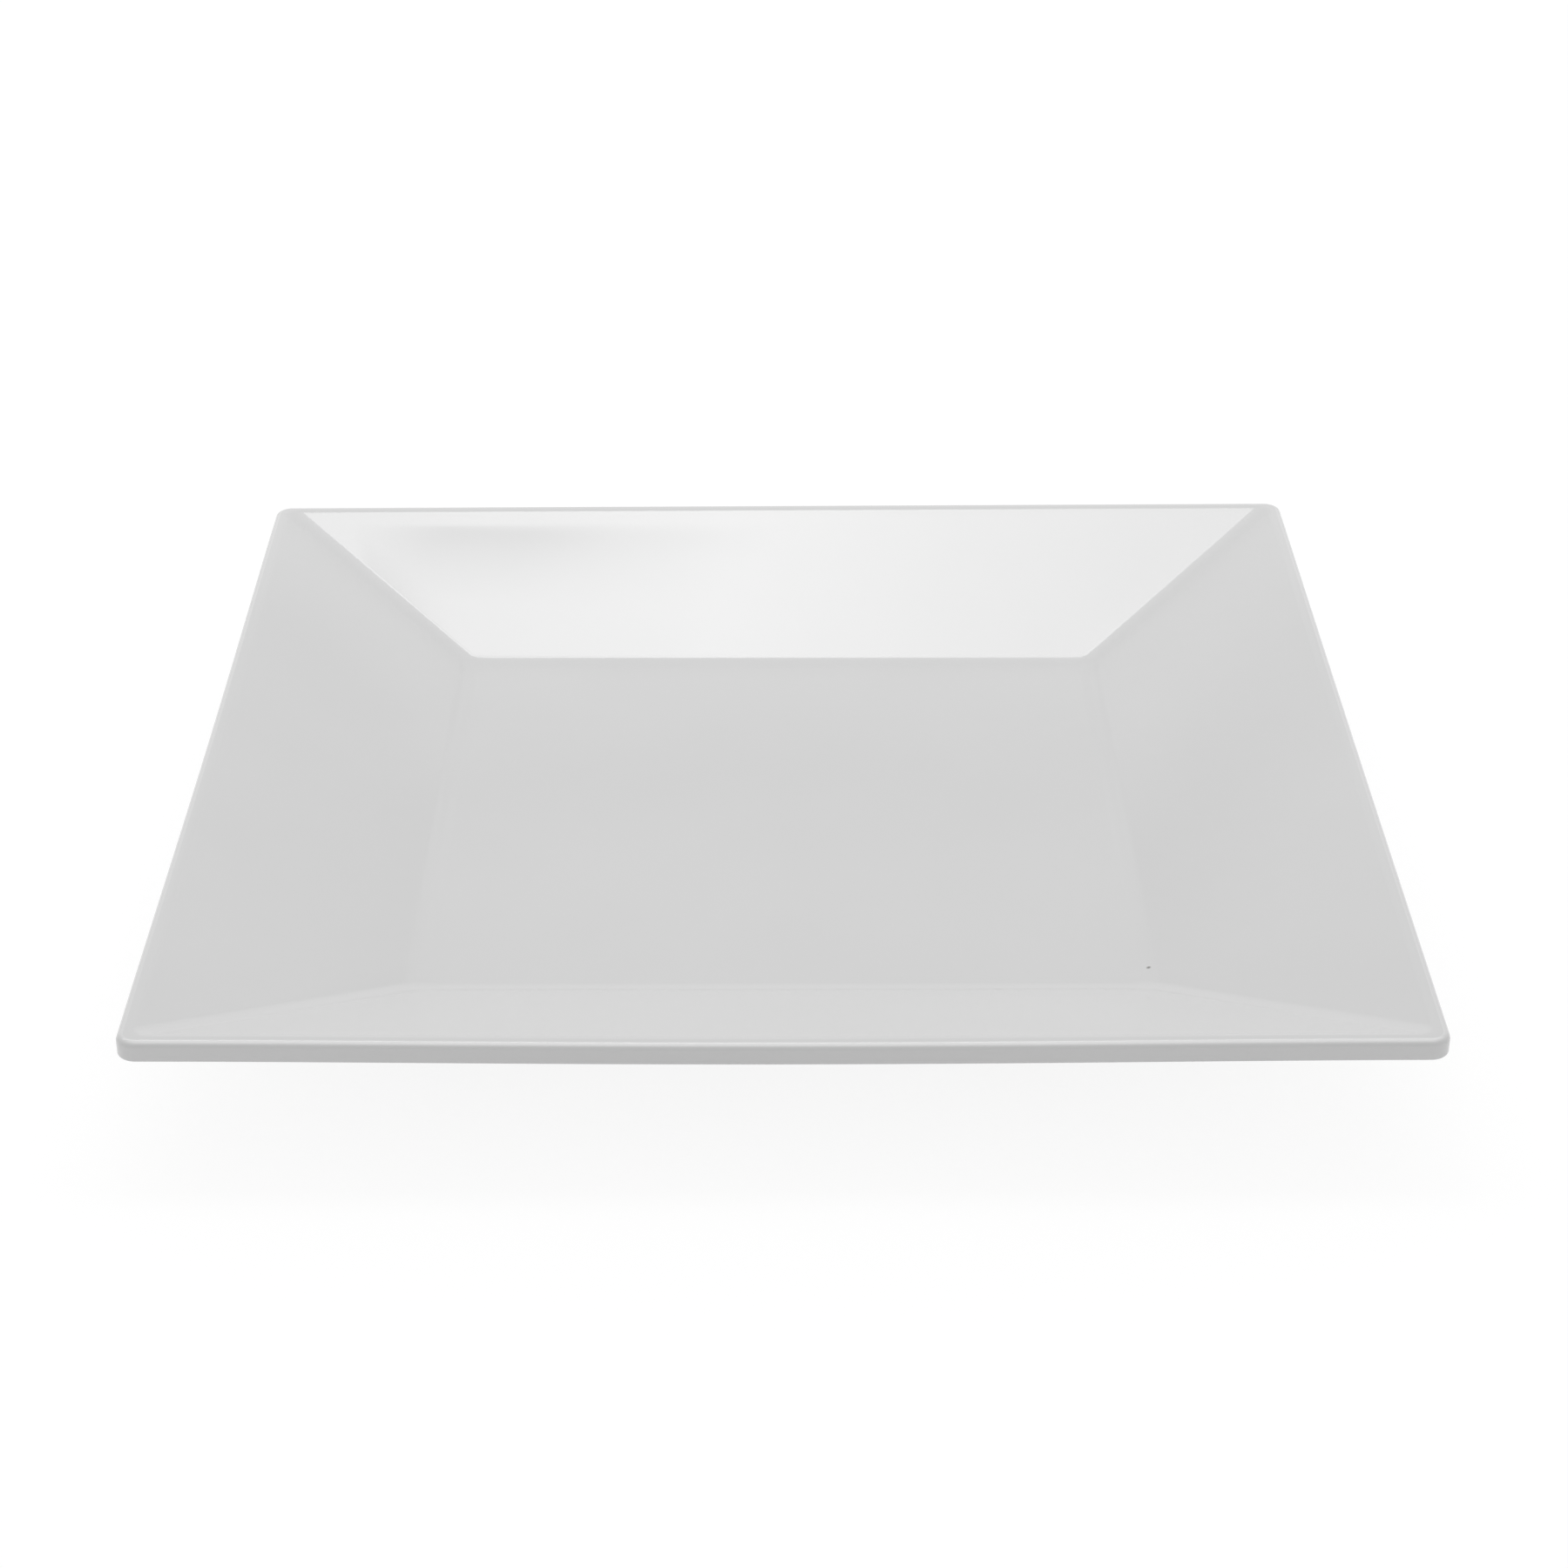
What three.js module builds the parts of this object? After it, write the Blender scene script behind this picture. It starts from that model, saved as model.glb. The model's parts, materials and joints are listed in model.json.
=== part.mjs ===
// Square dinner plate, compression moulded in white melamine: a flat square well, four flat sloping walls that
// meet in mitred corners, a level lip, an upright trimmed edge band and a square foot ring under the well.
// A thin clear glaze is pressed over the food face as a second layer, and stops where the trimmed edge begins.
// Millimetres, +Z up. The origin is on the table, under the middle of the plate.

import * as THREE from 'three';

// Driving dimensions seen from above
const plateSide = 254; // across the edge band, from flat to flat
const wellSide = 150.6; // across the well, from crease to crease
const lipWidth = 2.9; // from the top of a wall out to the edge band
const mitreRadius = 3.6; // plan radius where two walls meet, the same all the way up the mitre
const rimCornerRadius = 4; // plan radius of the edge band's corners
const footInset = 6; // from the well's crease in to the foot ring's outer edge
const footWidth = 3.5; // of the foot ring's standing face
const footCornerRadius = 8; // plan radius of the foot ring's outer corners

// Driving dimensions of the section
const wellDepth = 20; // from the well floor up to the lip
const thickness = 4.4; // of floor, walls and edge band, glaze and body together
const footHeight = 1.4; // of the foot ring, from the underside down to the table
const footDraft = 20; // degrees that the foot ring's sides lean from upright
const glazeThickness = 0.3; // of the clear layer on the food face

// Radii of the section's corners
const creaseRadius = 14; // between well floor and wall
const lipRadius = 3.5; // between wall and lip
const rimEdgeRadius = 1.4; // between lip and edge band
const bandFootRadius = 0.6; // between edge band and underside
const underLipRadius = 3; // between the undersides of lip and wall
const footEdgeRadius = 0.7; // at both edges of the standing face
const footRootRadius = 1; // between foot ring and underside

// Fineness of the facets
const stepsPerHalfCorner = 3; // in each rounded corner of the plan
const degreesPerStep = 10; // in each rounded corner of the section

// Places that follow from the dimensions: a half is the distance from the middle to a straight side
const plateHalf = plateSide / 2;
const wellHalf = wellSide / 2;
const wallTopHalf = plateHalf - lipWidth;
const glazeEdgeHalf = plateHalf - rimEdgeRadius;
const floorHeight = footHeight + thickness;
const rimHeight = floorHeight + wellDepth;
const bandBottom = rimHeight - thickness;
const wallSlope = Math.atan2(wellDepth, wallTopHalf - wellHalf);
const underShift = thickness * Math.tan(wallSlope / 2);
const footOuterHalf = wellHalf - footInset;
const footInnerHalf = footOuterHalf - footWidth;
const footLean = footHeight * Math.tan(THREE.MathUtils.degToRad(footDraft));

// One corner of a section: how far out and how high it is, its own radius, and the plan radius of its ring
function sectionCorner(half, height, radius, planRadius) {
  return { place: new THREE.Vector2(half, height), radius, planRadius };
}

// The corners of the food face, or of the layer that lies a given depth under it
function faceCorners(depth) {
  const shift = depth * Math.tan(wallSlope / 2);
  return [
    sectionCorner(0, floorHeight - depth, 0, mitreRadius),
    sectionCorner(wellHalf + shift, floorHeight - depth, creaseRadius + depth, mitreRadius),
    sectionCorner(wallTopHalf + shift, rimHeight - depth, lipRadius - depth, mitreRadius),
    sectionCorner(glazeEdgeHalf, rimHeight - depth, 0, rimCornerRadius - rimEdgeRadius),
  ];
}

// The corners of the bare body, from the end of the glaze round the edge band and the foot ring to the middle
function backCorners() {
  const footPlanRadius = (half) => footCornerRadius + half - footOuterHalf;
  const outerRoot = footOuterHalf + footLean;
  const innerRoot = footInnerHalf - footLean;
  return [
    sectionCorner(glazeEdgeHalf, rimHeight, 0, rimCornerRadius - rimEdgeRadius),
    sectionCorner(plateHalf, rimHeight, rimEdgeRadius, rimCornerRadius),
    sectionCorner(plateHalf, bandBottom, bandFootRadius, rimCornerRadius),
    sectionCorner(wallTopHalf + underShift, bandBottom, underLipRadius, mitreRadius),
    sectionCorner(wellHalf + underShift, footHeight, creaseRadius + thickness, mitreRadius),
    sectionCorner(outerRoot, footHeight, footRootRadius, footPlanRadius(outerRoot)),
    sectionCorner(footOuterHalf, 0, footEdgeRadius, footPlanRadius(footOuterHalf)),
    sectionCorner(footInnerHalf, 0, footEdgeRadius, footPlanRadius(footInnerHalf)),
    sectionCorner(innerRoot, footHeight, footRootRadius, footPlanRadius(innerRoot)),
    sectionCorner(0, footHeight, 0, footPlanRadius(innerRoot)),
  ];
}

// The arc that rounds one corner between its two neighbours, as points with their plan radii
function roundedCorner(before, corner, after) {
  const back = before.place.clone().sub(corner.place);
  const ahead = after.place.clone().sub(corner.place);
  const turn = Math.PI - back.angleTo(ahead);
  const reach = corner.radius * Math.tan(turn / 2);
  const startPlan = THREE.MathUtils.lerp(corner.planRadius, before.planRadius, reach / back.length());
  const endPlan = THREE.MathUtils.lerp(corner.planRadius, after.planRadius, reach / ahead.length());
  const start = back.clone().setLength(reach).add(corner.place);
  const end = ahead.clone().setLength(reach).add(corner.place);
  const toCentre = back.clone().normalize().add(ahead.clone().normalize());
  const centre = toCentre.setLength(corner.radius / Math.cos(turn / 2)).add(corner.place);
  const startAngle = start.clone().sub(centre).angle();
  const endAngle = end.clone().sub(centre).angle();
  const clockwise = back.cross(ahead) > 0;
  const arc = new THREE.EllipseCurve(
    centre.x, centre.y, corner.radius, corner.radius, startAngle, endAngle, clockwise,
  );
  const steps = Math.ceil(THREE.MathUtils.radToDeg(turn) / degreesPerStep);
  return arc.getPoints(steps).map((place) => ({
    place,
    planRadius: THREE.MathUtils.mapLinear(place.x, start.x, end.x, startPlan, endPlan),
  }));
}

// All points of a section, without the two ends that lie in the middle of the plate
function sectionPoints(corners) {
  const points = corners.flatMap((corner, index) => {
    if (corner.radius === 0) {
      return [corner];
    }
    return roundedCorner(corners[index - 1], corner, corners[index + 1]);
  });
  return points.filter((point) => point.place.x > 0);
}

// The rounded square that a section point draws around the plate
function squareRing({ place, planRadius }) {
  const outline = new THREE.Path();
  const cornerDistance = (place.x - planRadius) * Math.SQRT2;
  for (let quarter = 0; quarter < 4; quarter += 1) {
    const start = (quarter - 1) * Math.PI / 2;
    const diagonal = start + Math.PI / 4;
    const x = cornerDistance * Math.cos(diagonal);
    const y = cornerDistance * Math.sin(diagonal);
    outline.absarc(x, y, planRadius, start, start + Math.PI / 2);
  }
  return outline.getPoints(stepsPerHalfCorner).map((point) => new THREE.Vector3(point.x, point.y, place.y));
}

// A closed solid through the rings of a section that runs from a flat top lid outwards, round and back under
function loft(name, points, material) {
  const rings = points.map(squareRing);
  const ringSize = rings[0].length;
  const indices = [];
  for (let ring = 0; ring + 1 < rings.length; ring += 1) {
    for (let step = 0; step < ringSize; step += 1) {
      const nextStep = (step + 1) % ringSize;
      const inner = ring * ringSize;
      const outer = inner + ringSize;
      indices.push(inner + step, outer + step, outer + nextStep);
      indices.push(inner + step, outer + nextStep, inner + nextStep);
    }
  }
  const lastRing = (rings.length - 1) * ringSize;
  for (const [a, b, c] of THREE.ShapeUtils.triangulateShape(rings[0], [])) {
    indices.push(a, b, c);
  }
  for (const [a, b, c] of THREE.ShapeUtils.triangulateShape(rings.at(-1), [])) {
    indices.push(lastRing + a, lastRing + c, lastRing + b);
  }
  const geometry = new THREE.BufferGeometry().setFromPoints(rings.flat());
  geometry.setIndex(indices);
  geometry.computeVertexNormals();
  const mesh = new THREE.Mesh(geometry, material);
  mesh.name = name;
  return mesh;
}

const facePoints = sectionPoints(faceCorners(0));
const underGlazePoints = sectionPoints(faceCorners(glazeThickness));
const backPoints = sectionPoints(backCorners());

// The pressed body, with its trimmed edge bare and a seat for the glaze all over the food face
const melamine = new THREE.MeshStandardMaterial({ color: 0xdededc, roughness: 0.3, metalness: 0 });
const plateBody = loft('plate_body', [...underGlazePoints, ...backPoints], melamine);

// The glaze, lying on the body without a gap
const glaze = new THREE.MeshStandardMaterial({ color: 0xe2e2e0, roughness: 0.1, metalness: 0 });
const faceGlaze = loft('face_glaze', [...facePoints, ...underGlazePoints.toReversed()], glaze);

const squarePlate = new THREE.Group();
squarePlate.add(plateBody, faceGlaze);

export default squarePlate;
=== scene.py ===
import json
import math
from functools import partial

import bpy
from mathutils import Matrix, Vector


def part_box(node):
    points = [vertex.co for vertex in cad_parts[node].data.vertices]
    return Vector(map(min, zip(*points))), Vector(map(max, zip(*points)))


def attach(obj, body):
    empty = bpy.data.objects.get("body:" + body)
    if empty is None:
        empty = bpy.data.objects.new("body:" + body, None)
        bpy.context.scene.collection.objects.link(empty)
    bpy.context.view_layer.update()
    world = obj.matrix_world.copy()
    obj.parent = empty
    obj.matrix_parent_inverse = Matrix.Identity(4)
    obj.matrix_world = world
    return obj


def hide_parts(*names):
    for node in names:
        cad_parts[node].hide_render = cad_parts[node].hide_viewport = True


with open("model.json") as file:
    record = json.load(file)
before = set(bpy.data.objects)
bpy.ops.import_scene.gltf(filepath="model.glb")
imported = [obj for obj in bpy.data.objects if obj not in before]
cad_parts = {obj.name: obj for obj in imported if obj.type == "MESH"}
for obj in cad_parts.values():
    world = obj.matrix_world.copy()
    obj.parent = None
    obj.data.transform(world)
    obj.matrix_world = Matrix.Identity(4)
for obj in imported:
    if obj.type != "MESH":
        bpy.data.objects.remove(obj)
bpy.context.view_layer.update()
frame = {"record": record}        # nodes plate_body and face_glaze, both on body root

mm = 0.001
scene = bpy.context.scene
scene.view_settings.view_transform = "Standard"
mounts = {mount["name"]: Vector(mount["pos_m"]) for mount in frame["record"]["mounts"]}
_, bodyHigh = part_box("plate_body")
glazeLow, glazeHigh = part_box("face_glaze")
wellMiddle = mounts["well_floor"]


# adds a node, sets it up, sets or links its inputs, and gives back its outputs
def addNode(tree, kind, settings=None, inputs=None):
    node = tree.nodes.new(kind)
    for name, value in (settings or {}).items():
        setattr(node, name, value)
    for socket, value in (inputs or {}).items():
        if isinstance(value, bpy.types.NodeSocket):
            tree.links.new(value, node.inputs[socket])
        else:
            node.inputs[socket].default_value = value
    return node.outputs


# sRGB hex to the linear colour that sockets take
def linear(hexColour):
    channels = [int(hexColour[at:at + 2], 16) / 255 for at in (1, 3, 5)]
    return (*[c / 12.92 if c <= 0.04045 else ((c + 0.055) / 1.055) ** 2.4 for c in channels], 1)


# the camera stands in front of the plate and looks down into the well
cameraView = dict(
    lens=79.57,
    sensorWidth=36,
    distance=777 * mm,     # to the point that it looks at
    elevation=28.31,
    azimuth=-0.386,
    roll=0.134,
    aimRight=0.77 * mm,    # that point, seen from the middle of the well floor
    aimUp=6.29 * mm,
)


def makeCamera(view):
    azimuth, elevation, roll = (math.radians(view[name]) for name in ("azimuth", "elevation", "roll"))
    level = Vector((math.sin(azimuth), -math.cos(azimuth), 0))
    back = level * math.cos(elevation) + Vector((0, 0, math.sin(elevation)))
    right = Matrix.Rotation(roll, 3, back) @ Vector((math.cos(azimuth), math.sin(azimuth), 0))
    up = back.cross(right)
    data = bpy.data.cameras.new("camera")
    data.sensor_width = view["sensorWidth"]
    data.lens = view["lens"]
    camera = bpy.data.objects.new("camera", data)
    place = wellMiddle + right * view["aimRight"] + up * view["aimUp"] + back * view["distance"]
    camera.matrix_world = Matrix.Translation(place) @ Matrix((right, up, back)).transposed().to_4x4()
    scene.collection.objects.link(camera)
    scene.camera = camera


makeCamera(cameraView)
print("camera set")


# the plate's sizes as in its CAD model, then its warp from cooling and the fineness of its mesh;
# a half is the distance from the middle to a straight side
plate = dict(
    half=bodyHigh.x,
    rimHeight=bodyHigh.z,
    floorHeight=wellMiddle.z,
    glazeEdge=glazeHigh.x,
    glazeThickness=wellMiddle.z - glazeLow.z,
    wellHalf=75.3 * mm,
    lipWidth=2.9 * mm,
    thickness=4.4 * mm,        # of floor, walls and edge band
    mitreRadius=3.6 * mm,      # in plan, where two walls meet
    rimCornerRadius=4 * mm,    # in plan, of the edge band
    creaseRadius=14 * mm,      # well floor to wall
    lipRadius=3.5 * mm,        # wall to lip
    bandFootRadius=0.6 * mm,   # edge band to underside
    underLipRadius=3 * mm,
    footInset=6 * mm,          # from the well's crease to the foot ring
    footWidth=3.5 * mm,
    footDraft=20,
    footCornerRadius=8 * mm,
    footEdgeRadius=0.7 * mm,
    footRootRadius=1 * mm,
    rightSag=0.25 * mm,        # of the rim between its corners
    rearSag=0,
    leftSag=1.1 * mm,
    frontSag=0.8 * mm,
    rearLeftDrop=1.2 * mm,     # of one corner of the rim
    cornerSteps=10,
    sideSteps=24,
    arcSteps=20,
    rowSpacing=6 * mm,
    mergeDistance=0.002 * mm,
    sharpAngle=math.radians(40),    # an edge that turns by more stays sharp
)
lipStart = plate["half"] - plate["lipWidth"]
footOuter = plate["wellHalf"] - plate["footInset"]
wallSlope = math.atan2(plate["rimHeight"] - plate["floorHeight"], lipStart - plate["wellHalf"])
# plan radius of a ring, as its base and its growth with the ring's half
mitrePlan = (plate["mitreRadius"], 0)
rimPlan = (plate["rimCornerRadius"] - plate["half"], 1)
footPlan = (plate["footCornerRadius"] - footOuter, 1)


# section corners as (half, height, radius, *plan): the food face, or the layer a given depth under it
def faceSection(depth):
    shift = depth * math.tan(wallSlope / 2)
    floor, rim = plate["floorHeight"] - depth, plate["rimHeight"] - depth
    return [
        (0, floor, 0, *mitrePlan),
        (plate["wellHalf"] + shift, floor, plate["creaseRadius"] + depth, *mitrePlan),
        (lipStart + shift, rim, plate["lipRadius"] - depth, *mitrePlan),
        (plate["glazeEdge"], rim, 0, *rimPlan),
    ]


# from the end of the glaze round the edge band and the foot ring to the middle of the underside
def backSection():
    half, rim, thickness = plate["half"], plate["rimHeight"], plate["thickness"]
    under = plate["floorHeight"] - thickness
    shift = thickness * math.tan(wallSlope / 2)
    lean = under * math.tan(math.radians(plate["footDraft"]))
    footInner = footOuter - plate["footWidth"]
    # from here in, all rings have one plan radius
    middle = footInner - lean - 2 * plate["footRootRadius"]
    middlePlan = (middle + footPlan[0], 0)
    return [
        (plate["glazeEdge"], rim, 0, *rimPlan),
        (half, rim, half - plate["glazeEdge"], *rimPlan),
        (half, rim - thickness, plate["bandFootRadius"], *rimPlan),
        (lipStart + shift, rim - thickness, plate["underLipRadius"], *mitrePlan),
        (plate["wellHalf"] + shift, under, plate["creaseRadius"] + thickness, *mitrePlan),
        (footOuter + lean, under, plate["footRootRadius"], *footPlan),
        (footOuter, 0, plate["footEdgeRadius"], *footPlan),
        (footInner, 0, plate["footEdgeRadius"], *footPlan),
        (footInner - lean, under, plate["footRootRadius"], *footPlan),
        (middle, under, 0, *middlePlan),
        (0, under, 0, *middlePlan),
    ]


# Geometry Nodes: rounds the corners of a section and draws it round the plate as rings of rounded squares
def makeLoftTree():
    tree = bpy.data.node_groups.new("ringLoft", "GeometryNodeTree")
    put = partial(addNode, tree)
    sags = ("Right Sag", "Rear Sag", "Left Sag", "Front Sag")
    sizes = ("Half", "Well Half", "Lip Start", "Rear Left Drop",
             "Row Spacing", "Merge Distance", "Sharp Angle")
    counts = ("Corner Steps", "Side Steps", "Arc Steps")
    sockets = {"Section": "Geometry", "Finish": "Material"}
    sockets |= dict.fromkeys(sizes + sags, "Float") | dict.fromkeys(counts, "Int")
    for name, kind in sockets.items():
        tree.interface.new_socket(name, in_out="INPUT", socket_type="NodeSocket" + kind)
    tree.interface.new_socket("Solid", in_out="OUTPUT", socket_type="NodeSocketGeometry")
    given = put("NodeGroupInput")
    index = put("GeometryNodeInputIndex")[0]
    here = put("GeometryNodeInputPosition")[0]

    # rows: the section with its corners rounded, and more points along its straight stretches
    cornerRadius = put("GeometryNodeInputNamedAttribute", {"data_type": "FLOAT"}, {0: "cornerRadius"})[0]
    planBase = put("GeometryNodeInputNamedAttribute", {"data_type": "FLOAT"}, {0: "planBase"})[0]
    planGrowth = put("GeometryNodeInputNamedAttribute", {"data_type": "FLOAT"}, {0: "planGrowth"})[0]
    line = put("GeometryNodeMeshToCurve", {}, {0: given["Section"]})[0]
    rounded = put("GeometryNodeFilletCurve", {"mode": "POLY"},
                  {"Curve": line, "Count": given["Arc Steps"], "Radius": cornerRadius})[0]
    nextIndex = put("FunctionNodeIntegerMath", {"operation": "ADD"}, {0: index, 1: 1})[0]
    nextPlace = put("GeometryNodeFieldAtIndex", {"data_type": "FLOAT_VECTOR"}, {0: here, 1: nextIndex})[0]
    stretch = put("ShaderNodeVectorMath", {"operation": "DISTANCE"}, {0: here, 1: nextPlace})["Value"]
    cuts = put("ShaderNodeMath", {"operation": "DIVIDE"}, {0: stretch, 1: given["Row Spacing"]})[0]
    rows = put("GeometryNodeSubdivideCurve", {}, {0: rounded, 1: cuts})[0]
    rowCount = put("GeometryNodeAttributeDomainSize", {"component": "CURVE"}, {0: rows})["Point Count"]

    # columns: in each quarter, the steps of a corner and then those of the side after it
    quarterSteps = put("FunctionNodeIntegerMath", {"operation": "ADD"},
                       {0: given["Corner Steps"], 1: given["Side Steps"]})[0]
    columnCount = put("FunctionNodeIntegerMath", {"operation": "MULTIPLY_ADD"},
                      {0: quarterSteps, 1: 4, 2: 1})[0]
    grid = put("GeometryNodeMeshGrid", {}, {"Vertices X": columnCount, "Vertices Y": rowCount})[0]
    column = put("FunctionNodeIntegerMath", {"operation": "DIVIDE_FLOOR"}, {0: index, 1: rowCount})[0]
    row = put("FunctionNodeIntegerMath", {"operation": "MODULO"}, {0: index, 1: rowCount})[0]
    quarter = put("FunctionNodeIntegerMath", {"operation": "DIVIDE_FLOOR"}, {0: column, 1: quarterSteps})[0]
    step = put("FunctionNodeIntegerMath", {"operation": "MODULO"}, {0: column, 1: quarterSteps})[0]
    turn = put("ShaderNodeMapRange", {}, {0: step, 2: given["Corner Steps"], 3: -math.pi / 2, 4: 0})[0]
    alongSide = put("ShaderNodeMapRange", {},
                    {0: step, 1: given["Corner Steps"], 2: quarterSteps, 3: -1, 4: 1})[0]

    # a quarter's corner and side at this row's size, turned to its place
    place = put("GeometryNodeSampleIndex", {"data_type": "FLOAT_VECTOR"}, {0: rows, 1: here, 2: row})[0]
    base = put("GeometryNodeSampleIndex", {"data_type": "FLOAT"}, {0: rows, 1: planBase, 2: row})[0]
    growth = put("GeometryNodeSampleIndex", {"data_type": "FLOAT"}, {0: rows, 1: planGrowth, 2: row})[0]
    half, _, height = put("ShaderNodeSeparateXYZ", {}, {0: place})
    planRadius = put("ShaderNodeMath", {"operation": "MULTIPLY_ADD"}, {0: growth, 1: half, 2: base})[0]
    radius = put("ShaderNodeMath", {"operation": "MINIMUM"}, {0: planRadius, 1: half})[0]
    straight = put("ShaderNodeMath", {"operation": "SUBTRACT"}, {0: half, 1: radius})[0]
    cosine = put("ShaderNodeMath", {"operation": "COSINE"}, {0: turn})[0]
    sine = put("ShaderNodeMath", {"operation": "SINE"}, {0: turn})[0]
    out = put("ShaderNodeMath", {"operation": "MULTIPLY_ADD"}, {0: cosine, 1: radius, 2: straight})[0]
    run = put("ShaderNodeMath", {"operation": "MULTIPLY"}, {0: straight, 1: alongSide})[0]
    along = put("ShaderNodeMath", {"operation": "MULTIPLY_ADD"}, {0: sine, 1: radius, 2: run})[0]
    spot = put("ShaderNodeCombineXYZ", {}, {0: out, 1: along, 2: height})[0]
    angle = put("ShaderNodeMath", {"operation": "MULTIPLY"}, {0: quarter, 1: math.pi / 2})[0]
    turned = put("ShaderNodeVectorRotate", {"rotation_type": "Z_AXIS"}, {"Vector": spot, "Angle": angle})[0]

    # from cooling, the rim sags between its corners and one corner has dropped; the well stays flat
    sideSag = put("GeometryNodeIndexSwitch", {"data_type": "FLOAT"}, {0: quarter})[0]
    for _ in sags[2:]:
        sideSag.node.index_switch_items.new()
    for number, name in enumerate(sags):
        tree.links.new(given[name], sideSag.node.inputs[number + 1])
    square = put("ShaderNodeMath", {"operation": "MULTIPLY"}, {0: alongSide, 1: alongSide})[0]
    bow = put("ShaderNodeMath", {"operation": "SUBTRACT"}, {0: 1, 1: square})[0]
    smoothBow = put("ShaderNodeMath", {"operation": "MULTIPLY"}, {0: bow, 1: bow})[0]
    x, y, _ = put("ShaderNodeSeparateXYZ", {}, {0: turned})
    backward = put("ShaderNodeMath", {"operation": "MULTIPLY"}, {0: given["Half"], 1: -1})[0]
    toLeft = put("ShaderNodeMapRange", {}, {0: x, 1: given["Half"], 2: backward})[0]
    toRear = put("ShaderNodeMapRange", {}, {0: y, 1: backward, 2: given["Half"]})[0]
    toCorner = put("ShaderNodeMath", {"operation": "MULTIPLY"}, {0: toLeft, 1: toRear})[0]
    drop = put("ShaderNodeMath", {"operation": "MULTIPLY"}, {0: toCorner, 1: given["Rear Left Drop"]})[0]
    sag = put("ShaderNodeMath", {"operation": "MULTIPLY_ADD"}, {0: smoothBow, 1: sideSag, 2: drop})[0]
    upWall = put("ShaderNodeMapRange", {}, {0: half, 1: given["Well Half"], 2: given["Lip Start"]})[0]
    lower = put("ShaderNodeMath", {"operation": "MULTIPLY"}, {0: sag, 1: upWall})[0]
    down = put("ShaderNodeMath", {"operation": "MULTIPLY"}, {0: lower, 1: -1})[0]
    offset = put("ShaderNodeCombineXYZ", {}, {2: down})[0]
    shaped = put("GeometryNodeSetPosition", {}, {"Geometry": grid, "Position": turned, "Offset": offset})[0]

    # close the seam and the two middles, and keep the few square edges sharp
    closed = put("GeometryNodeMergeByDistance", {},
                 {"Geometry": shaped, "Distance": given["Merge Distance"]})[0]
    facing = put("GeometryNodeFlipFaces", {}, {"Mesh": closed})[0]
    smooth = put("GeometryNodeSetShadeSmooth", {"domain": "FACE"}, {"Geometry": facing})[0]
    edgeAngle = put("GeometryNodeInputMeshEdgeAngle")[0]
    isSquare = put("ShaderNodeMath", {"operation": "GREATER_THAN"},
                   {0: edgeAngle, 1: given["Sharp Angle"]})[0]
    crisp = put("GeometryNodeSetShadeSmooth", {"domain": "EDGE"},
                {"Geometry": smooth, "Selection": isSquare, "Shade Smooth": False})[0]
    real = put("GeometryNodeRealizeInstances", {}, {"Geometry": crisp})[0]
    finished = put("GeometryNodeSetMaterial", {}, {"Geometry": real, "Material": given["Finish"]})[0]
    put("NodeGroupOutput", {}, {0: finished})
    return tree


loftTree = makeLoftTree()


# lofts a section into a plain mesh
def makePiece(name, section, finish):
    line = bpy.data.meshes.new(name + "Section")
    line.from_pydata([(half, 0, height) for half, height, *_ in section],
                     [(at, at + 1) for at in range(len(section) - 1)], [])
    for column, attribute in enumerate(("cornerRadius", "planBase", "planGrowth"), 2):
        layer = line.attributes.new(attribute, "FLOAT", "POINT")
        layer.data.foreach_set("value", [corner[column] for corner in section])
    piece = bpy.data.objects.new(name, line)
    scene.collection.objects.link(piece)
    loft = piece.modifiers.new("loft", "NODES")
    loft.node_group = loftTree
    values = {"Lip Start": lipStart, "Finish": finish}
    for socket in loftTree.interface.items_tree:
        setting = socket.name[0].lower() + socket.name[1:].replace(" ", "")
        value = values.get(socket.name, plate.get(setting))
        if value is not None:
            loft[socket.identifier] = value
    evaluated = piece.evaluated_get(bpy.context.evaluated_depsgraph_get())
    piece.data = bpy.data.meshes.new_from_object(evaluated)
    piece.data.name = name
    piece.data.materials.pop(index=0)    # the empty slot that the grid brings
    piece.modifiers.remove(loft)
    print(name, "has", len(piece.data.polygons), "faces")
    return piece


# melamine from a mirror-polished mould, under a clear glaze: even, very smooth, sharp reflections
glazeLook = dict(
    colour="#DDDDDD",
    cloudColour="#DADADA",     # where the powder flowed less evenly
    cloudSize=30 * mm,
    cloudDetail=3,
    ior=1.62,
    roughness=0.02,
    smearRoughness=0.045,      # where it has been wiped
    smearSize=45 * mm,
    smearDetail=4,
    smearRange=(0.35, 0.7),    # of the noise, from clean to smeared
    rippleSize=14 * mm,        # long, very shallow waves from the press
    rippleHeight=0.003 * mm,
    rippleDetail=1,
    fleckColour="#8C8A86",     # one scorched grain of powder, in the front right corner of the well
    fleckPlace=(75.9 * mm, -67.75 * mm, 6.1 * mm),
    fleckRadius=0.62 * mm,
    fleckCore=1 / 3,           # the share of its radius that is darkest
)


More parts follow.
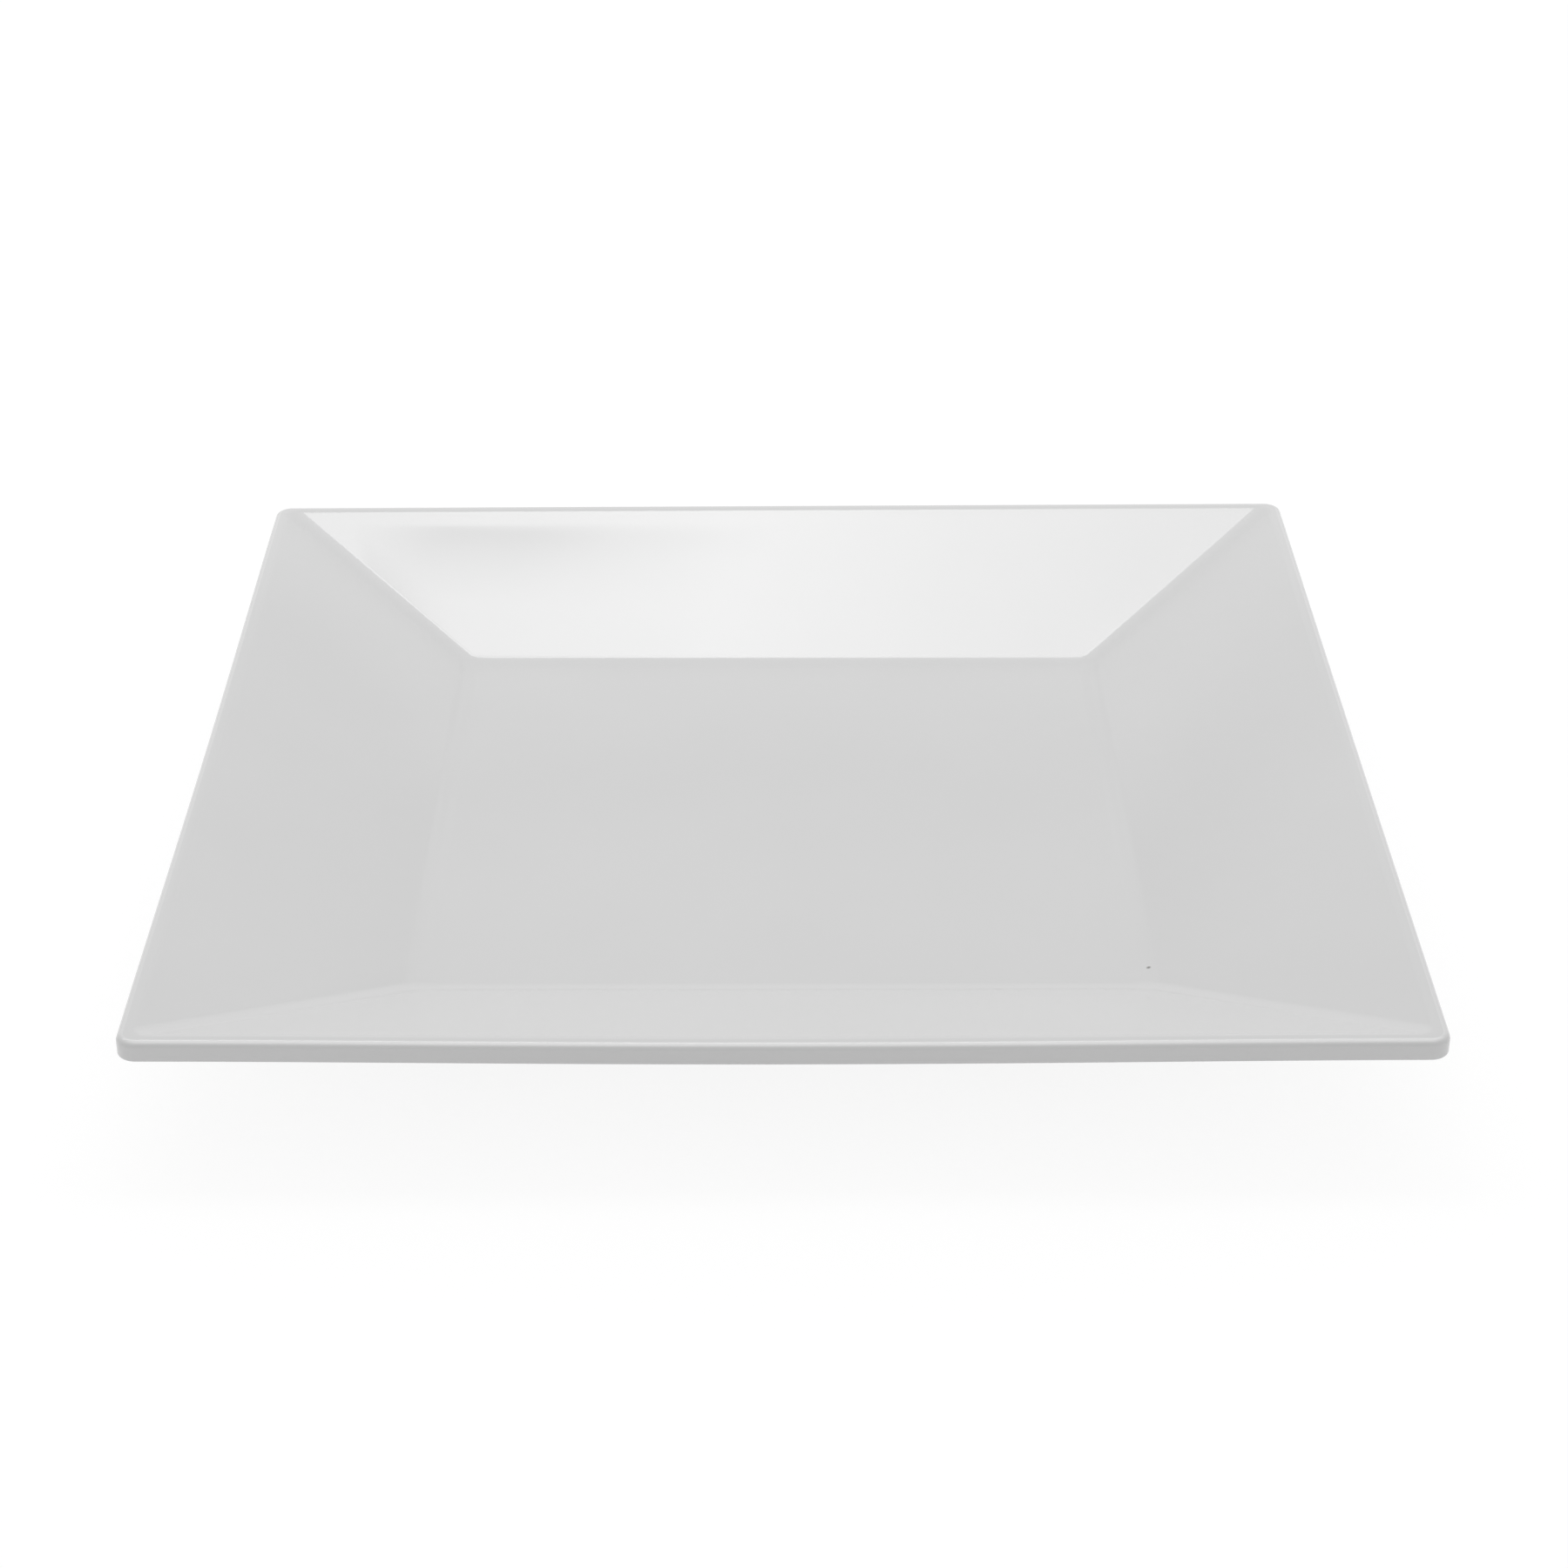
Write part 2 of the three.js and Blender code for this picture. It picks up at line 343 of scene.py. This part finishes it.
def makeGlaze(look):
    material = bpy.data.materials.new("glazedMelamine")
    material.use_nodes = True
    tree = material.node_tree
    tree.nodes.clear()
    put = partial(addNode, tree)
    spot = put("ShaderNodeTexCoord")["Object"]
    clouds = put("ShaderNodeTexNoise", {},
                 {"Vector": spot, "Scale": 1 / look["cloudSize"], "Detail": look["cloudDetail"]})[0]
    clean = put("ShaderNodeMix", {"data_type": "RGBA"},
                {0: clouds, 6: linear(look["colour"]), 7: linear(look["cloudColour"])})[2]
    fromFleck = put("ShaderNodeVectorMath", {"operation": "DISTANCE"},
                    {0: spot, 1: look["fleckPlace"]})["Value"]
    inFleck = put("ShaderNodeMapRange", {},
                  {0: fromFleck, 1: look["fleckRadius"], 2: look["fleckRadius"] * look["fleckCore"]})[0]
    colour = put("ShaderNodeMix", {"data_type": "RGBA"},
                 {0: inFleck, 6: clean, 7: linear(look["fleckColour"])})[2]
    smears = put("ShaderNodeTexNoise", {},
                 {"Vector": spot, "Scale": 1 / look["smearSize"], "Detail": look["smearDetail"]})[0]
    smearStart, smearEnd = look["smearRange"]
    roughness = put("ShaderNodeMapRange", {},
                    {0: smears, 1: smearStart, 2: smearEnd,
                     3: look["roughness"], 4: look["smearRoughness"]})[0]
    ripple = put("ShaderNodeTexNoise", {},
                 {"Vector": spot, "Scale": 1 / look["rippleSize"], "Detail": look["rippleDetail"]})[0]
    bump = put("ShaderNodeBump", {}, {"Height": ripple, "Distance": look["rippleHeight"]})[0]
    surface = put("ShaderNodeBsdfPrincipled", {},
                  {"Base Color": colour, "Roughness": roughness, "IOR": look["ior"], "Normal": bump})[0]
    put("ShaderNodeOutputMaterial", {}, {0: surface})
    return material


# bare pressed melamine: a buffed edge, a satin underside and a scuffed standing face
bodyLook = dict(
    colour="#E3E3E3",
    scuffColour="#BFBEBB",
    ior=1.62,
    edgeRoughness=0.09,
    edgeBlend=0.3 * mm,        # from the edge band's foot up, where the buffing sets in
    edgeGrain=0.1,             # the share of the grain that the buffing leaves
    underRoughness=0.38,
    scuffRoughness=0.6,
    scuffHeight=0.4 * mm,      # above the table
    scuffSize=1.2 * mm,
    scuffDetail=5,
    grainSize=0.7 * mm,        # of the blasted mould; really finer, and drawn this coarse so that it shows
    grainHeight=0.004 * mm,
    grainDetail=2,
)


def makeBody(look):
    material = bpy.data.materials.new("pressedMelamine")
    material.use_nodes = True
    tree = material.node_tree
    tree.nodes.clear()
    put = partial(addNode, tree)
    spot = put("ShaderNodeTexCoord")["Object"]
    height = put("ShaderNodeSeparateXYZ", {}, {0: spot})["Z"]
    bandBottom = plate["rimHeight"] - plate["thickness"]
    onBand = put("ShaderNodeMapRange", {},
                 {0: height, 1: bandBottom, 2: bandBottom + look["edgeBlend"]})[0]
    nearTable = put("ShaderNodeMapRange", {}, {0: height, 1: look["scuffHeight"], 2: 0})[0]
    scuffs = put("ShaderNodeTexNoise", {},
                 {"Vector": spot, "Scale": 1 / look["scuffSize"], "Detail": look["scuffDetail"]})[0]
    scuffed = put("ShaderNodeMath", {"operation": "MULTIPLY"}, {0: nearTable, 1: scuffs})[0]
    colour = put("ShaderNodeMix", {"data_type": "RGBA"},
                 {0: scuffed, 6: linear(look["colour"]), 7: linear(look["scuffColour"])})[2]
    clean = put("ShaderNodeMapRange", {},
                {0: onBand, 3: look["underRoughness"], 4: look["edgeRoughness"]})[0]
    roughness = put("ShaderNodeMix", {}, {0: scuffed, 2: clean, 3: look["scuffRoughness"]})[0]
    grain = put("ShaderNodeTexNoise", {},
                {"Vector": spot, "Scale": 1 / look["grainSize"], "Detail": look["grainDetail"]})[0]
    blasted = put("ShaderNodeMapRange", {}, {0: onBand, 3: 1, 4: look["edgeGrain"]})[0]
    bump = put("ShaderNodeBump", {},
               {"Strength": blasted, "Height": grain, "Distance": look["grainHeight"]})[0]
    surface = put("ShaderNodeBsdfPrincipled", {},
                  {"Base Color": colour, "Roughness": roughness, "IOR": look["ior"], "Normal": bump})[0]
    put("ShaderNodeOutputMaterial", {}, {0: surface})
    return material


underGlaze = faceSection(plate["glazeThickness"])
plateBody = makePiece("plateBody", underGlaze + backSection(), makeBody(bodyLook))
faceGlaze = makePiece("faceGlaze", faceSection(0) + underGlaze[::-1], makeGlaze(glazeLook))
dressed = ((plateBody, "plate_body", "melamine_body"), (faceGlaze, "face_glaze", "melamine_glaze"))
for piece, node, slot in dressed:
    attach(piece, "root")
    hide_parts(node)
print("plate made")


# a white table that stays white to the camera and still takes the plate's shadow, and is clear from below
floorLook = dict(size=8, gap=0.02 * mm, colour="#F3F3F3", glow=0.88, shadowShare=0.16)


def makeFloor(look):
    reach, level = look["size"] / 2, -look["gap"]
    corners = [(-reach, -reach, level), (reach, -reach, level),
               (reach, reach, level), (-reach, reach, level)]
    mesh = bpy.data.meshes.new("floor")
    mesh.from_pydata(corners, [], [(0, 1, 2, 3)])
    material = bpy.data.materials.new("whiteTable")
    material.use_nodes = True
    material.cycles.emission_sampling = "NONE"    # its glow shows, also in reflections, and lights nothing
    tree = material.node_tree
    tree.nodes.clear()
    put = partial(addNode, tree)
    path = put("ShaderNodeLightPath")
    seen = put("ShaderNodeMath", {"operation": "MAXIMUM"},
               {0: path["Is Camera Ray"], 1: path["Is Glossy Ray"]})[0]
    shown = put("ShaderNodeMath", {"operation": "MAXIMUM"}, {0: seen, 1: path["Is Transmission Ray"]})[0]
    paint = put("ShaderNodeBsdfDiffuse", {}, {"Color": linear(look["colour"])})[0]
    share = look["shadowShare"]
    shade = put("ShaderNodeBsdfDiffuse", {}, {"Color": (share, share, share, 1)})[0]
    glow = put("ShaderNodeEmission", {}, {"Strength": look["glow"]})[0]
    white = put("ShaderNodeAddShader", {}, {0: shade, 1: glow})[0]
    both = put("ShaderNodeMixShader", {}, {0: shown, 1: paint, 2: white})[0]
    below = put("ShaderNodeNewGeometry")["Backfacing"]
    clear = put("ShaderNodeBsdfTransparent")[0]
    table = put("ShaderNodeMixShader", {}, {0: below, 1: both, 2: clear})[0]
    put("ShaderNodeOutputMaterial", {}, {0: table})
    mesh.materials.append(material)
    floor = bpy.data.objects.new("floor", mesh)
    scene.collection.objects.link(floor)


makeFloor(floorLook)


# even white room light, and a backdrop that only reflections show: bright overhead, with a dim seam;
# heights in it are sines of the elevation
roomLight = dict(
    front=0.53,                # the light on the plate, from in front and from behind
    rear=1.24,
    background=1,              # what the camera sees
    horizon=0.82,              # the backdrop, from the horizon up
    middle=1.02,
    middleRise=(0.05, 0.35),   # where horizon turns to middle
    zenith=3.9,
    zenithPower=6,
    seamRise=0.471,
    seamDrop=0.044,            # how much lower the seam is at both sides
    seamSides=(0.08, 0.2),     # how far to the side that drop starts and ends
    seamReach=0.03,
    seamDepth=0.14,
)


def makeRoom(light):
    world = bpy.data.worlds.new("studio")
    scene.world = world
    world.use_nodes = True
    tree = world.node_tree
    tree.nodes.clear()
    put = partial(addNode, tree)
    path = put("ShaderNodeLightPath")
    direction = put("ShaderNodeTexCoord")["Generated"]
    sideward, rearward, upward = put("ShaderNodeSeparateXYZ", {}, {0: direction})
    room = put("ShaderNodeMapRange", {}, {0: rearward, 3: light["front"], 4: light["rear"]})[0]
    riseStart, riseEnd = light["middleRise"]
    walls = put("ShaderNodeMapRange", {"interpolation_type": "SMOOTHSTEP"},
                {0: upward, 1: riseStart, 2: riseEnd, 3: light["horizon"], 4: light["middle"]})[0]
    aside = put("ShaderNodeMath", {"operation": "ABSOLUTE"}, {0: sideward})[0]
    dropStart, dropEnd = light["seamSides"]
    seamRise = put("ShaderNodeMapRange", {"interpolation_type": "SMOOTHSTEP"},
                   {0: aside, 1: dropStart, 2: dropEnd,
                    3: light["seamRise"], 4: light["seamRise"] - light["seamDrop"]})[0]
    overSeam = put("ShaderNodeMath", {"operation": "SUBTRACT"}, {0: upward, 1: seamRise})[0]
    fromSeam = put("ShaderNodeMath", {"operation": "ABSOLUTE"}, {0: overSeam})[0]
    seam = put("ShaderNodeMapRange", {"interpolation_type": "SMOOTHSTEP"},
               {0: fromSeam, 2: light["seamReach"], 3: light["seamDepth"], 4: 0})[0]
    backdrop = put("ShaderNodeMath", {"operation": "SUBTRACT"}, {0: walls, 1: seam})[0]
    overhead = put("ShaderNodeMath", {"operation": "POWER"}, {0: upward, 1: light["zenithPower"]})[0]
    sky = put("ShaderNodeMapRange", {}, {0: overhead, 3: backdrop, 4: light["zenith"]})[0]
    mirrored = put("ShaderNodeMath", {"operation": "MAXIMUM"},
                   {0: path["Is Glossy Ray"], 1: path["Is Transmission Ray"]})[0]
    unseen = put("ShaderNodeMix", {}, {0: mirrored, 2: room, 3: sky})[0]
    strength = put("ShaderNodeMix", {}, {0: path["Is Camera Ray"], 2: unseen, 3: light["background"]})[0]
    glow = put("ShaderNodeBackground", {}, {"Color": (1, 1, 1, 1), "Strength": strength})[0]
    put("ShaderNodeOutputWorld", {}, {0: glow})


makeRoom(roomLight)


# one softbox above and behind the plate, brightest near the middle, with a dim fold in its cloth
softbox = dict(
    place=(0, 0.38, 0.8),
    turn=-2,
    width=1.5,
    depth=0.26,
    radiance=2.85,
    # brightness along its width
    fade=((0.05, 0.68), (0.37, 0.74), (0.48, 1), (0.65, 0.53), (0.95, 0.45)),
    # how strong the fold is along the width and across the depth, both on a slant
    foldAlong=((0.268, 0), (0.29, 0.22), (0.312, 0.97), (0.341, 1),
               (0.352, 0.85), (0.366, 0.55), (0.423, 0)),
    foldAcross=((0.78, 0), (0.85, 0.33), (0.903, 0.68), (0.927, 0.95), (0.952, 1), (0.964, 0)),
    foldSlant=0.44,
    foldLean=-0.08,
    foldDepth=0.7,
)


def makeSoftbox(box):
    data = bpy.data.lights.new("softbox", "AREA")
    data.shape = "RECTANGLE"
    data.size, data.size_y = box["width"], box["depth"]
    data.energy = box["radiance"] * math.pi * box["width"] * box["depth"]
    data.use_nodes = True
    data.node_tree.nodes.clear()
    put = partial(addNode, data.node_tree)
    cloth = put("ShaderNodeNewGeometry")["Parametric"]
    across, deep, _ = put("ShaderNodeSeparateXYZ", {}, {0: cloth})
    slanted = put("ShaderNodeMath", {"operation": "MULTIPLY_ADD"},
                  {0: across, 1: box["foldSlant"], 2: deep})[0]
    leaning = put("ShaderNodeMath", {"operation": "MULTIPLY_ADD"},
                  {0: slanted, 1: box["foldLean"], 2: across})[0]
    shares = {}
    for name, place in (("fade", across), ("foldAlong", leaning), ("foldAcross", slanted)):
        shares[name] = put("ShaderNodeValToRGB", {}, {0: place})[0]
        stops = shares[name].node.color_ramp.elements
        while len(stops) < len(box[name]):
            stops.new(1)
        for stop, (position, share) in zip(stops, box[name]):
            stop.position = position
            stop.color = (share, share, share, 1)
    fold = put("ShaderNodeMath", {"operation": "MULTIPLY"},
               {0: shares["foldAlong"], 1: shares["foldAcross"]})[0]
    folded = put("ShaderNodeMapRange", {}, {0: fold, 3: 1, 4: 1 - box["foldDepth"]})[0]
    bright = put("ShaderNodeMath", {"operation": "MULTIPLY"}, {0: shares["fade"], 1: folded})[0]
    glow = put("ShaderNodeEmission", {}, {"Strength": bright})[0]
    put("ShaderNodeOutputLight", {}, {0: glow})
    lamp = bpy.data.objects.new("softbox", data)
    lamp.location = box["place"]
    lamp.rotation_euler.z = math.radians(box["turn"])
    lamp.visible_camera = False
    scene.collection.objects.link(lamp)


makeSoftbox(softbox)
print("floor and lights set")
